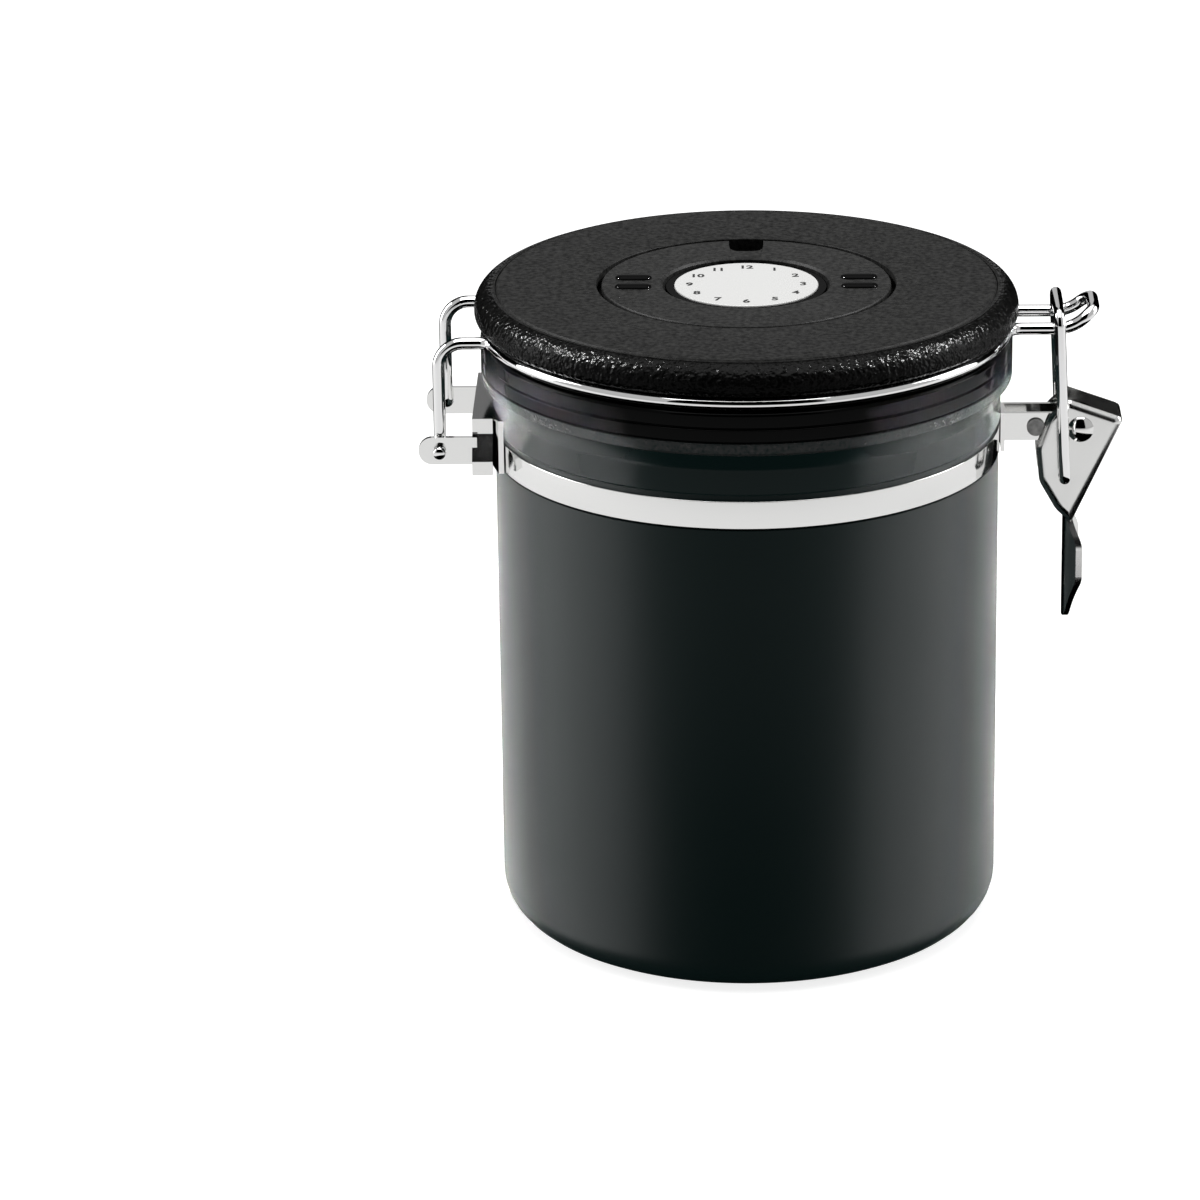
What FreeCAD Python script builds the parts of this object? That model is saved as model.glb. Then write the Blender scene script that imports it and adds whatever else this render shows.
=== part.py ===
"""Round storage canister with a wire-bail lid, a toggle clamp, a date ring and a one-way vent.

Millimetres, +Z up, origin at the centre of the base on the body's axis.
The hinge is at -X, the clamp at +X and the front is -Y.
"""
import os

import FreeCAD
import Part
from FreeCAD import Vector
from math import acos, cos, pi, radians, sin, sqrt

os.makedirs("parts", exist_ok=True)

# Body shell
body_radius = 62.0
body_wall = 0.8
base_corner = 10.0
base_rib_inset = 17.0
base_rib_width = 5.0
base_rib_crest_share = 0.33
base_rib_rise = 1.0
base_rib_rounding = 0.8

# Band groove, neck and rolled rim of the shell, from the base up
band_bottom_z = 121.3
band_height = 6.9
band_thickness = 0.8
band_fit = 0.06
groove_depth = 0.6
groove_low_margin = 0.4
groove_high_margin = 1.4
neck_step = 0.4
ledge_round_share = 0.55
ear_round_share = 0.98
crease_round_share = 0.3
neck_height = 6.6
flare_height = 4.2
rim_overhang = 3.2
bead_height = 3.0
bead_undercut = 1.5
bead_rounding = 0.9
rim_line_depth = 0.6
rim_line_height = 0.6
rim_strip_height = 2.9
rim_lip_height = 3.7
rim_curl_depth = 3.0
rim_curl_width = 6.0
rim_rounding = 0.9
flare_low_rounding = 5.0
flare_high_rounding = 0.4

# Bail wire of the lid
wire_radius = 1.5
wire_height_over_rim = 2.1
wire_set_in = 1.0
wire_leave_bend = 4.0
hinge_wire_y = 16.9
hinge_leg_bend = 6.0
hook_bend = 1.7
hook_stick_out = 2.4
loop_wire_y = 7.25
tongue_lead = 0.4
tongue_radius = 9.5
tongue_angle = 38.0
tongue_corner = 4.0

# Hinge bracket
hinge_reach = 9.6
hinge_rise = 2.05
hinge_ear_thickness = 1.2
hinge_ear_gap = 0.4
hinge_ear_height = 6.9
hinge_ear_tip = 1.7
hinge_strip_offset = 7.9
hinge_strip_width = 5.0
hinge_strip_height = 13.2
hinge_strip_lift = 1.0
hinge_strip_foot = 3.6
hinge_strip_top = 4.0
hinge_strip_lean = 2.1
hinge_strip_step = 2.0
hinge_strip_bend = 0.6
hinge_foot_margin = 0.4
hinge_ear_fit = 0.08
bracket_seat_gap = 0.12

# Latch bracket and its two rivets
pivot_reach = 16.7
pivot_rise = 2.3
latch_ear_inner_y = 3.15
latch_ear_thickness = 1.2
latch_ear_height = 7.0
latch_foot_thickness = 1.0
latch_foot_margin = 0.6
pivot_radius = 1.9
pivot_fit = 0.08
pivot_head_radius = 3.2
pivot_head_height = 1.3
clamp_rivet_back = 10.9
clamp_rivet_radius = 1.7
clamp_head_radius = 2.2
clamp_head_height = 0.7
rivet_fit = 0.05
head_gap = 0.15

# Toggle lever
lever_sheet = 1.2
lever_side_gap = 0.35
lever_crank = 12.5
lever_crank_angle = 18.0
lever_top_rise = 7.7
lever_top_back = 3.2
lever_nose_reach = 10.9
lever_nose_rise = 2.7
lever_waist_drop = 25.1
lever_waist_back = 2.0
lever_shoulder_back = 8.0
lever_shoulder_rise = 3.4
lever_belly_back = 11.0
lever_belly_drop = 5.0
lever_low_back = 10.2
lever_low_drop = 13.8
lever_hip_back = 6.0
lever_hip_drop = 21.2
lever_corner = 1.6
lever_side_rounding = 6.0
lever_bend = 2.2
hook_reach = 1.2
tab_length = 26.5
tab_half_width = 8.6
tab_sag = 3.4
tab_root_half_width = 5.0
tab_widest_share = 0.2
tab_shoulder_share = 0.58
tab_tip_half_width = 3.4
tab_tip_round_share = 0.9

# Link wire between the lever and the loop of the lid
link_wire_radius = 1.4
link_leg_gap = 0.4
link_bar_gap = 1.5
link_bar_back = 5.8
link_corner = 3.0
link_hook_bend = 1.6
link_hook_fit = 0.08

# Lid cover
lid_wire_gap = 0.3
lid_overhang = 2.4
lid_edge_height = 8.1
lid_edge_round_share = 0.66
lid_lower_round_share = 0.28
lid_top_plate = 2.6
lid_skirt_overlap = 2.5
lid_crown_step = 0.5
lid_edge_width = 5.0

# Lid insert and seal
insert_wire_gap = 0.25
insert_plate = 2.4
plug_step = 2.0
plug_depth = 2.6
seal_reach_in = 3.2
seal_outer_gap = 0.1
seal_thickness = 1.5
seal_gap = 0.2
seal_fit = 0.05
seal_rounding = 0.5
screw_count = 4
screw_head_radius = 3.0
screw_head_height = 1.2
screw_shank_radius = 1.4
screw_boss_radius = 3.0
screw_engagement = 4.0
screw_fit = 0.05
screw_slot_width = 0.9
screw_slot_depth = 0.6

# Date ring, hub and month disc
ring_radius_share = 0.545
ring_gap = 0.35
ring_opening_share = 0.562
ring_thickness = 3.6
ring_chamfer = 1.0
ring_lip_width = 3.0
ring_lip_height = 1.3
ring_float = 0.2
notch_half_width = 4.2
notch_depth = 10.4
notch_rounding = 2.4
grip_length = 9.6
grip_width = 3.4
grip_height = 0.9
grip_pitch = 7.6
grip_place_share = 0.53
grip_rounding = 0.8
hub_flange_gap = 0.5
hub_sink = 0.9
hub_rim_width = 2.3
hub_pocket_depth = 0.4
hub_screw_head_radius = 3.6
hub_screw_head_height = 1.4
hub_screw_radius = 1.5
disc_thickness = 0.8
disc_fit = 0.08
disc_edge_round = 0.2
recess_floor = 2.0

# Vent valve under the lid
vent_radius = 1.3
vent_circle_radius = 6.0
vent_count = 6
flap_overlap = 1.7
flap_thickness = 0.9
flap_lift = 0.8
flap_seat_gap = 0.15
flap_stem_radius = 1.6
flap_stem_fit = 0.1
flap_bead_radius = 2.3
flap_bead_height = 1.2
housing_margin = 6.0
housing_height = 8.0
housing_wall = 1.6
housing_floor = 1.4
housing_fit = 0.05
filter_thickness = 1.6
filter_fit = 0.2
grille_hole_radius = 1.2
grille_circle_shares = (0.28, 0.56)
grille_counts = (6, 12)

# Derived sizes, from the base up
base_rib_radius = body_radius - base_rib_inset
band_top_z = band_bottom_z + band_height
band_mid_z = band_bottom_z + band_height / 2
groove_low_z = band_bottom_z - groove_low_margin
groove_high_z = band_top_z + groove_high_margin
neck_top_z = groove_high_z + neck_height
bead_low_z = neck_top_z + flare_height
bead_top_z = bead_low_z + bead_height
upper_line_z = bead_top_z + rim_line_height + rim_strip_height
rim_top_z = upper_line_z + rim_line_height + rim_lip_height
groove_radius = body_radius - groove_depth
neck_radius = body_radius + neck_step
rim_radius = body_radius + rim_overhang
rim_inner_radius = rim_radius - rim_curl_width
band_inner_radius = groove_radius + band_fit
band_outer_radius = band_inner_radius + band_thickness
band_edge_round = band_thickness * ledge_round_share / 2
bracket_inner_radius = max(band_outer_radius, neck_radius) + bracket_seat_gap

wire_circle_radius = rim_radius - wire_set_in
wire_z = rim_top_z + wire_height_over_rim
hinge_axis_x = -rim_radius - hinge_reach
hinge_axis_z = band_mid_z + hinge_rise
hinge_ear_inner_y = hinge_wire_y + wire_radius + hinge_ear_gap
hinge_ear_outer_y = hinge_ear_inner_y + hinge_ear_thickness
hook_end_y = hinge_ear_outer_y + hook_stick_out

pivot_x = rim_radius + pivot_reach
pivot_z = band_mid_z + pivot_rise
clamp_rivet_x = pivot_x - clamp_rivet_back
lever_inner_y = latch_ear_inner_y + latch_ear_thickness + clamp_head_height + lever_side_gap
lever_outer_y = lever_inner_y + lever_sheet
crank_x = pivot_x - lever_crank * sin(radians(lever_crank_angle))
crank_z = pivot_z - lever_crank * cos(radians(lever_crank_angle))
pivot_head_y = lever_outer_y + head_gap
link_bar_x = pivot_x - link_bar_back
link_bar_z = wire_z + wire_radius + link_bar_gap + link_wire_radius
link_leg_y = (max(pivot_head_y + pivot_head_height, loop_wire_y + wire_radius)
              + link_leg_gap + link_wire_radius)
hook_inner_y = lever_inner_y - hook_reach

lid_bottom_z = wire_z + wire_radius + lid_wire_gap
lid_top_z = lid_bottom_z + lid_edge_height
lid_radius = wire_circle_radius + lid_overhang
lid_crown_radius = lid_radius - lid_edge_width
insert_radius = wire_circle_radius - wire_radius - insert_wire_gap
insert_top_z = lid_bottom_z
seal_top_z = rim_top_z + seal_gap + seal_thickness
seal_inner_radius = rim_inner_radius - seal_reach_in
plug_radius = seal_inner_radius - plug_step
plug_bottom_z = rim_top_z + seal_gap - plug_depth
ring_radius = lid_radius * ring_radius_share
ring_opening_radius = ring_radius * ring_opening_share
ring_lip_radius = ring_opening_radius - ring_lip_width
grip_centre_x = ring_opening_radius + (ring_radius - ring_opening_radius) * grip_place_share
recess_z = lid_top_z - ring_thickness - ring_float
ring_bottom_z = recess_z + ring_float
cover_floor_z = recess_z - recess_floor
flap_radius = vent_circle_radius + vent_radius + flap_overlap
housing_radius = flap_radius + housing_margin


def rounded_wire(points):
    """Closed wire in the XZ plane through (x, z, corner radius) points, with tangent arcs at the corners."""
    corners = [(Vector(x, 0, z), r) for x, z, r in points]
    edges = []
    ends = []
    for i, (here, r) in enumerate(corners):
        before = corners[i - 1][0]
        after = corners[(i + 1) % len(corners)][0]
        u = (before - here).normalize()
        v = (after - here).normalize()
        half = acos(max(-1.0, min(1.0, u.dot(v)))) / 2
        if r <= 0 or half > pi / 2 - 1e-4:
            ends.append((here, here, None))
            continue
        reach = r * cos(half) / sin(half)
        middle = here + (u + v).normalize() * (r / sin(half) - r)
        ends.append((here + u * reach, here + v * reach, middle))
    for i, (start, stop, middle) in enumerate(ends):
        if middle is not None:
            edges.append(Part.Arc(start, middle, stop).toShape())
        following = ends[(i + 1) % len(ends)][0]
        if (following - stop).Length > 1e-6:
            edges.append(Part.LineSegment(stop, following).toShape())
    return Part.Wire(edges)


def turned(points):
    """Solid of revolution about Z of a closed (radius, z, corner radius) outline."""
    return Part.Face(rounded_wire(points)).revolve(Vector(0, 0, 0), Vector(0, 0, 1), 360)


def plate(points, y_low, y_high):
    """Flat plate with an XZ outline, between two Y values."""
    face = Part.Face(rounded_wire(points))
    face.translate(Vector(0, y_low, 0))
    return face.extrude(Vector(0, y_high - y_low, 0))


def rod_y(radius, x, z, y_low, y_high):
    """Round bar along Y."""
    return Part.makeCylinder(radius, y_high - y_low, Vector(x, y_low, z), Vector(0, 1, 0))


def rod_z(radius, x, y, z_low, z_high):
    """Round bar along Z."""
    return Part.makeCylinder(radius, z_high - z_low, Vector(x, y, z_low), Vector(0, 0, 1))


def line(a, b):
    return Part.LineSegment(a, b).toShape()


def bend(a, corner, b):
    """Arc tangent to corner-a at a and to corner-b at b, where both are as far from the corner."""
    u = (a - corner).normalize()
    v = (b - corner).normalize()
    half = acos(u.dot(v)) / 2
    reach = (a - corner).Length
    radius = reach * sin(half) / cos(half)
    middle = corner + (u + v).normalize() * (radius / sin(half) - radius) if half < pi / 2 - 1e-6 else corner
    return Part.Arc(a, middle, b).toShape()


def bent_path(corners, radii):
    """Open path through 3-D corner points with a bend of the given radius at each inner corner."""
    edges = []
    start = corners[0]
    for here, after, r in zip(corners[1:-1], corners[2:], radii):
        u = (start - here).normalize()
        v = (after - here).normalize()
        half = acos(u.dot(v)) / 2
        reach = r * cos(half) / sin(half)
        a = here + u * reach
        b = here + v * reach
        edges.append(line(start, a))
        edges.append(bend(a, here, b))
        start = b
    edges.append(line(start, corners[-1]))
    return edges


def swept_wire(edges, radius):
    """Round wire along a smooth chain of edges."""
    path = Part.Wire(edges)
    first = path.OrderedEdges[0]
    start = first.valueAt(first.FirstParameter)
    heading = first.tangentAt(first.FirstParameter)
    if first.Orientation == "Reversed":
        start = first.valueAt(first.LastParameter)
        heading = first.tangentAt(first.LastParameter) * -1
    ring = Part.Wire([Part.Circle(start, heading, radius).toShape()])
    solid = path.makePipeShell([ring], True, True)
    return solid


def mirrored_chain(edges):
    """The same chain followed by its mirror image across the XZ plane, so that it runs on without a break."""
    other = [e.mirror(Vector(0, 0, 0), Vector(0, 1, 0)) for e in reversed(edges)]
    return edges + other


def around(count, radius, phase=0.0):
    """Points spread evenly on a circle about the Z axis."""
    return [(radius * cos(phase + 2 * pi * i / count), radius * sin(phase + 2 * pi * i / count))
            for i in range(count)]


def save(name, shape):
    shape.exportStep("parts/" + name + ".step")


# Shell: one drawn sheet with a rib in its flat base, a groove for the band, a bead and a rolled rim
curl_low_z = rim_top_z - rim_curl_depth
upper_inner_radius = rim_radius - rim_line_depth - body_wall
inner_radius = body_radius - body_wall
groove_round = groove_depth * crease_round_share
ledge = neck_radius - groove_radius
flare_top_radius = rim_radius - bead_undercut
line_round = rim_line_depth * crease_round_share
rib_foot = base_rib_width / 2
rib_crest = rib_foot * base_rib_crest_share

shell_outline = [
    (0, 0, 0),
    (base_rib_radius - rib_foot, 0, base_rib_rounding),
    (base_rib_radius - rib_crest, base_rib_rise, base_rib_rounding),
    (base_rib_radius + rib_crest, base_rib_rise, base_rib_rounding),
    (base_rib_radius + rib_foot, 0, base_rib_rounding),
    (body_radius, 0, base_corner),
    (body_radius, groove_low_z, groove_round),
    (groove_radius, groove_low_z, groove_round),
    (groove_radius, groove_high_z, ledge * crease_round_share),
    (neck_radius, groove_high_z, ledge * ledge_round_share),
    (neck_radius, neck_top_z, flare_low_rounding),
    (flare_top_radius, bead_low_z, flare_high_rounding),
    (rim_radius, bead_low_z, bead_rounding),
]
for z in (bead_top_z, upper_line_z):
    shell_outline += [
        (rim_radius, z, line_round),
        (rim_radius - rim_line_depth, z + rim_line_height / 2, line_round / 2),
        (rim_radius, z + rim_line_height, line_round),
    ]
shell_outline += [
    (rim_radius, rim_top_z, rim_rounding),
    (rim_inner_radius, rim_top_z, rim_rounding),
    (rim_inner_radius, curl_low_z, rim_rounding),
    (upper_inner_radius, curl_low_z, 0),
    (upper_inner_radius, bead_low_z + body_wall, 0),
    (flare_top_radius - body_wall, bead_low_z + body_wall, 0),
    (neck_radius - body_wall, neck_top_z, flare_low_rounding),
    (neck_radius - body_wall, groove_high_z + body_wall, 0),
    (groove_radius - body_wall, groove_high_z + body_wall, 0),
    (groove_radius - body_wall, groove_low_z - body_wall, 0),
    (inner_radius, groove_low_z - body_wall, 0),
    (inner_radius, body_wall, base_corner - body_wall),
    (base_rib_radius + rib_foot, body_wall, base_rib_rounding),
    (base_rib_radius + rib_crest, base_rib_rise + body_wall, base_rib_rounding),
    (base_rib_radius - rib_crest, base_rib_rise + body_wall, base_rib_rounding),
    (base_rib_radius - rib_foot, body_wall, base_rib_rounding),
    (0, body_wall, 0),
]
canister_body = turned(shell_outline)
save("canister_body", canister_body)

# Polished steel band in the groove
clamp_band = turned([
    (band_inner_radius, band_bottom_z, 0),
    (band_outer_radius, band_bottom_z, band_edge_round),
    (band_outer_radius, band_top_z, band_edge_round),
    (band_inner_radius, band_top_z, 0),
])
save("clamp_band", clamp_band)

# Hinge bracket: a curved foot on the band and a strap bent over it, with an ear for each hook of the bail
strip_x = hinge_axis_x + hinge_strip_offset
strip_low_z = hinge_axis_z + hinge_strip_lift - hinge_strip_height / 2
strip_high_z = strip_low_z + hinge_strip_height
ear_half = hinge_ear_height / 2
hinge_foot_low_z = band_bottom_z - hinge_foot_margin
hinge_foot_radius = bracket_inner_radius + hinge_ear_thickness
hinge_bracket = rod_z(hinge_foot_radius, 0, 0, hinge_foot_low_z, strip_high_z).common(
    Part.makeBox(hinge_foot_radius, 2 * hinge_ear_outer_y, strip_high_z - hinge_foot_low_z,
                 Vector(-hinge_foot_radius, -hinge_ear_outer_y, hinge_foot_low_z)))
ear_root_x = strip_x + hinge_ear_thickness
ear_outline = [
    (ear_root_x, hinge_axis_z - ear_half, 0),
    (ear_root_x, hinge_axis_z + ear_half, 0),
    (hinge_axis_x - hinge_ear_tip - ear_half, hinge_axis_z + ear_half, ear_half * ear_round_share),
    (hinge_axis_x - hinge_ear_tip - ear_half, hinge_axis_z - ear_half, ear_half * ear_round_share),
]
for y_low in (-hinge_ear_outer_y, hinge_ear_inner_y):
    hinge_bracket = hinge_bracket.fuse(plate(ear_outline, y_low, y_low + hinge_ear_thickness))
strip_foot_y = -hinge_ear_outer_y - hinge_strip_lean
strip_top_y = -hinge_ear_outer_y + hinge_strip_step
strip = plate([
    (strip_foot_y, strip_low_z, 0),
    (strip_foot_y + hinge_ear_thickness, strip_low_z, 0),
    (strip_foot_y + hinge_ear_thickness, strip_low_z + hinge_strip_foot, hinge_strip_bend),
    (strip_top_y + hinge_ear_thickness, strip_high_z - hinge_strip_top, hinge_strip_bend),
    (strip_top_y + hinge_ear_thickness, strip_high_z, 0),
    (strip_top_y, strip_high_z, 0),
    (strip_top_y, strip_high_z - hinge_strip_top, hinge_strip_bend),
    (strip_foot_y, strip_low_z + hinge_strip_foot, hinge_strip_bend),
], -strip_x - hinge_strip_width, -strip_x)
strip.rotate(Vector(0, 0, 0), Vector(0, 0, 1), 90)
for bent in (strip, strip.mirror(Vector(0, 0, 0), Vector(0, 1, 0))):
    hinge_bracket = hinge_bracket.fuse(bent)
hinge_bracket = hinge_bracket.fuse(Part.makeBox(
    hinge_strip_width, -2 * strip_top_y, hinge_ear_thickness,
    Vector(strip_x, strip_top_y, strip_high_z - hinge_ear_thickness)))
hinge_bracket = hinge_bracket.cut(
    rod_z(bracket_inner_radius, 0, 0, strip_low_z - ear_half, strip_high_z + ear_half))
hinge_bracket = hinge_bracket.cut(
    rod_y(wire_radius + hinge_ear_fit, hinge_axis_x, hinge_axis_z, -hook_end_y, hook_end_y))
hinge_bracket = hinge_bracket.removeSplitter()
save("hinge_bracket", hinge_bracket)

# Latch bracket: a curved foot on the band with two ears that carry the lever
ear_top_half = latch_ear_height / 2
ear_outer_y = latch_ear_inner_y + latch_ear_thickness
foot_low_z = band_bottom_z - latch_foot_margin
foot_high_z = pivot_z + ear_top_half
foot_outer_radius = bracket_inner_radius + latch_foot_thickness
latch_bracket = rod_z(foot_outer_radius, 0, 0, foot_low_z, foot_high_z).common(
    Part.makeBox(foot_outer_radius, 2 * ear_outer_y, foot_high_z - foot_low_z,
                 Vector(0, -ear_outer_y, foot_low_z)))
latch_ear_outline = [
    (0, pivot_z - ear_top_half, 0),
    (pivot_x + ear_top_half, pivot_z - ear_top_half, ear_top_half * ear_round_share),
    (pivot_x + ear_top_half, pivot_z + ear_top_half, ear_top_half * ear_round_share),
    (0, pivot_z + ear_top_half, 0),
]
for y_low in (-ear_outer_y, latch_ear_inner_y):
    latch_bracket = latch_bracket.fuse(plate(latch_ear_outline, y_low, y_low + latch_ear_thickness))
latch_bracket = latch_bracket.cut(
    rod_z(bracket_inner_radius, 0, 0, foot_low_z - ear_top_half, foot_high_z + ear_top_half))
for x, r in ((pivot_x, pivot_radius), (clamp_rivet_x, clamp_rivet_radius)):
    latch_bracket = latch_bracket.cut(rod_y(r + rivet_fit, x, pivot_z, -ear_outer_y, ear_outer_y))
latch_bracket = latch_bracket.removeSplitter()
save("latch_bracket", latch_bracket)

# Rivet that draws the two ears together
rivet_head_y = ear_outer_y + rivet_fit
clamp_rivet = rod_y(clamp_rivet_radius, clamp_rivet_x, pivot_z, -rivet_head_y, rivet_head_y)
for y_low in (-rivet_head_y - clamp_head_height + rivet_fit, rivet_head_y):
    clamp_rivet = clamp_rivet.fuse(
        rod_y(clamp_head_radius, clamp_rivet_x, pivot_z, y_low, y_low + clamp_head_height - rivet_fit))
clamp_rivet = clamp_rivet.removeSplitter()
save("clamp_rivet", clamp_rivet)

# Domed rivet on which the lever turns
dome_radius = (pivot_head_radius ** 2 + pivot_head_height ** 2) / (2 * pivot_head_height)
lever_pivot = rod_y(pivot_radius, pivot_x, pivot_z, -pivot_head_y, pivot_head_y)
for side in (-1, 1):
    ball = Part.makeSphere(
        dome_radius, Vector(pivot_x, side * (pivot_head_y + pivot_head_height - dome_radius), pivot_z))
    y_low = min(side * pivot_head_y, side * (pivot_head_y + pivot_head_height))
    lever_pivot = lever_pivot.fuse(
        ball.common(rod_y(pivot_head_radius, pivot_x, pivot_z, y_low, y_low + pivot_head_height)))
lever_pivot = lever_pivot.removeSplitter()
save("lever_pivot", lever_pivot)

# Lever: a pressed channel, open towards the canister, that runs out into a thumb tab, hollow outwards
nose = Vector(pivot_x + lever_nose_reach, 0, pivot_z + lever_nose_rise)
waist = Vector(pivot_x - lever_waist_back, 0, pivot_z - lever_waist_drop)
back = (waist - nose).normalize()
inward = Vector(back.z, 0, -back.x)
lever_outline = [
    (nose.x, nose.z, lever_corner),
    (pivot_x - lever_top_back, pivot_z + lever_top_rise, lever_corner),
    (pivot_x - lever_shoulder_back, pivot_z + lever_shoulder_rise, lever_side_rounding),
    (pivot_x - lever_belly_back, pivot_z - lever_belly_drop, lever_side_rounding),
    (pivot_x - lever_low_back, pivot_z - lever_low_drop, lever_side_rounding),
    (pivot_x - lever_hip_back, pivot_z - lever_hip_drop, lever_side_rounding),
    (waist.x, waist.z, 0),
]
latch_lever = plate(lever_outline, -lever_outer_y, lever_outer_y)
bend_edges = [e for e in latch_lever.Edges if e.BoundBox.ZLength > lever_waist_drop / 2]
latch_lever = latch_lever.makeFillet(lever_bend, bend_edges)
inner_nose = nose + inward * lever_sheet - back * lever_crank
inner_waist = waist + inward * lever_sheet + back * lever_crank
far = inward * (lever_nose_reach + lever_belly_back)
latch_lever = latch_lever.cut(plate([
    (inner_nose.x, inner_nose.z, 0),
    (inner_waist.x, inner_waist.z, 0),
    ((inner_waist + far).x, (inner_waist + far).z, 0),
    ((inner_nose + far).x, (inner_nose + far).z, 0),
], -lever_inner_y, lever_inner_y))
tab_curve = (tab_half_width ** 2 + tab_sag ** 2) / (2 * tab_sag)
tab_top_z = waist.z + lever_sheet
tab_low_z = tab_top_z - tab_length
tab_wide_z = tab_top_z - tab_length * tab_widest_share
tab_shoulder_z = tab_top_z - tab_length * tab_shoulder_share
tab_face_x = waist.x - lever_sheet / 2
tab_axis_x = tab_face_x + tab_curve
tab_shell = rod_z(tab_curve + lever_sheet, tab_axis_x, 0, tab_low_z, tab_top_z)
tab_shell = tab_shell.cut(rod_z(tab_curve, tab_axis_x, 0, tab_low_z, tab_top_z))
leaf = plate([
    (-tab_root_half_width, tab_top_z, 0),
    (-tab_half_width, tab_wide_z, lever_side_rounding),
    (-tab_half_width, tab_shoulder_z, lever_side_rounding),
    (-tab_tip_half_width, tab_low_z, tab_tip_half_width * tab_tip_round_share),
    (tab_tip_half_width, tab_low_z, tab_tip_half_width * tab_tip_round_share),
    (tab_half_width, tab_shoulder_z, lever_side_rounding),
    (tab_half_width, tab_wide_z, lever_side_rounding),
    (tab_root_half_width, tab_top_z, 0),
], -tab_axis_x, lever_sheet - tab_face_x)
leaf.rotate(Vector(0, 0, 0), Vector(0, 0, 1), 90)
latch_lever = latch_lever.fuse(tab_shell.common(leaf))
for x, z, r in ((pivot_x, pivot_z, pivot_radius + pivot_fit),
                (crank_x, crank_z, link_wire_radius + link_hook_fit)):
    latch_lever = latch_lever.cut(rod_y(r, x, z, -lever_outer_y, lever_outer_y))
latch_lever = latch_lever.removeSplitter()
save("latch_lever", latch_lever)

# Link: a bent wire, hooked into both sides of the lever, whose top bar holds the lid's loop down
link_corners = [
    Vector(crank_x, -hook_inner_y, crank_z),
    Vector(crank_x, -link_leg_y, crank_z),
    Vector(link_bar_x, -link_leg_y, link_bar_z),
    Vector(link_bar_x, link_leg_y, link_bar_z),
    Vector(crank_x, link_leg_y, crank_z),
    Vector(crank_x, hook_inner_y, crank_z),
]
link_bail = swept_wire(
    bent_path(link_corners, [link_hook_bend, link_corner, link_corner, link_hook_bend]), link_wire_radius)
save("link_bail", link_bail)

# Bail: one wire that hooks into the hinge ears, runs round the lid and ends in the turned-up loop
leave_out = wire_circle_radius + wire_leave_bend
hinge_centre = Vector(-sqrt(leave_out ** 2 - (hinge_wire_y + wire_leave_bend) ** 2),
                      -hinge_wire_y - wire_leave_bend, wire_z)
loop_centre = Vector(sqrt(leave_out ** 2 - (loop_wire_y + wire_leave_bend) ** 2),
                     -loop_wire_y - wire_leave_bend, wire_z)
aside = Vector(0, wire_leave_bend, 0)


def on_circle(centre):
    """Point where a leaving bend about this centre meets the wire's circle round the lid."""
    flat = Vector(centre.x, centre.y, 0) * (wire_circle_radius / leave_out)
    return Vector(flat.x, flat.y, wire_z)


def leaving_bend(a, centre, b):
    """Arc from a to b about a centre, the short way."""
    middle = centre + ((a - centre) + (b - centre)).normalize() * wire_leave_bend
    return Part.Arc(a, middle, b).toShape()


tongue = radians(tongue_angle)
tongue_start = Vector(link_bar_x - tongue_lead, -loop_wire_y, wire_z)


def tongue_point(angle):
    """Point of the turned-up loop after this angle of its bend."""
    return tongue_start + Vector(tongue_radius * sin(angle), 0, tongue_radius * (1 - cos(angle)))


tongue_end = tongue_point(tongue)
tongue_tip = tongue_end + Vector(cos(tongue), 0, sin(tongue)) * tongue_corner
tip_turn = tongue_tip + Vector(0, tongue_corner, 0)
bail_edges = bent_path([
    Vector(hinge_axis_x, -hook_end_y, hinge_axis_z),
    Vector(hinge_axis_x, -hinge_wire_y, hinge_axis_z),
    Vector(hinge_axis_x, -hinge_wire_y, wire_z),
    hinge_centre + aside,
], [hook_bend, hinge_leg_bend])
front_of_circle = Vector(0, -wire_circle_radius, wire_z)
bail_edges += [
    leaving_bend(hinge_centre + aside, hinge_centre, on_circle(hinge_centre)),
    Part.Arc(on_circle(hinge_centre), front_of_circle, on_circle(loop_centre)).toShape(),
    leaving_bend(on_circle(loop_centre), loop_centre, loop_centre + aside),
    line(loop_centre + aside, tongue_start),
    Part.Arc(tongue_start, tongue_point(tongue / 2), tongue_end).toShape(),
    bend(tongue_end, tongue_tip, tip_turn),
    line(tip_turn, Vector(tip_turn.x, 0, tip_turn.z)),
]
lid_bail = swept_wire(mirrored_chain(bail_edges), wire_radius)
save("lid_bail", lid_bail)

# Lid cover: moulded cap with a rounded edge, a crease round its top and a pocket for the date ring
pocket_radius = ring_radius + ring_gap
pocket_wall_radius = pocket_radius + lid_top_plate
plate_low_z = lid_top_z - lid_top_plate
skirt_inner_radius = insert_radius - lid_skirt_overlap
crown_low_z = lid_top_z - lid_crown_step
edge_height = crown_low_z - lid_bottom_z
lid_cover = turned([
    (0, cover_floor_z, 0),
    (pocket_wall_radius, cover_floor_z, 0),
    (pocket_wall_radius, plate_low_z, 0),
    (skirt_inner_radius, plate_low_z, lid_top_plate),
    (skirt_inner_radius, lid_bottom_z, 0),
    (lid_radius, lid_bottom_z, edge_height * lid_lower_round_share),
    (lid_radius, crown_low_z, edge_height * lid_edge_round_share),
    (lid_crown_radius, crown_low_z, 0),
    (lid_crown_radius - lid_crown_step, lid_top_z, lid_crown_step),
    (pocket_radius, lid_top_z, lid_crown_step),
    (pocket_radius, recess_z, 0),
    (0, recess_z, 0),
])
insert_floor_z = plug_bottom_z + insert_plate
screw_circle_radius = (pocket_wall_radius + plug_radius - insert_plate) / 2
screw_points = around(screw_count, screw_circle_radius, pi / screw_count)
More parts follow.
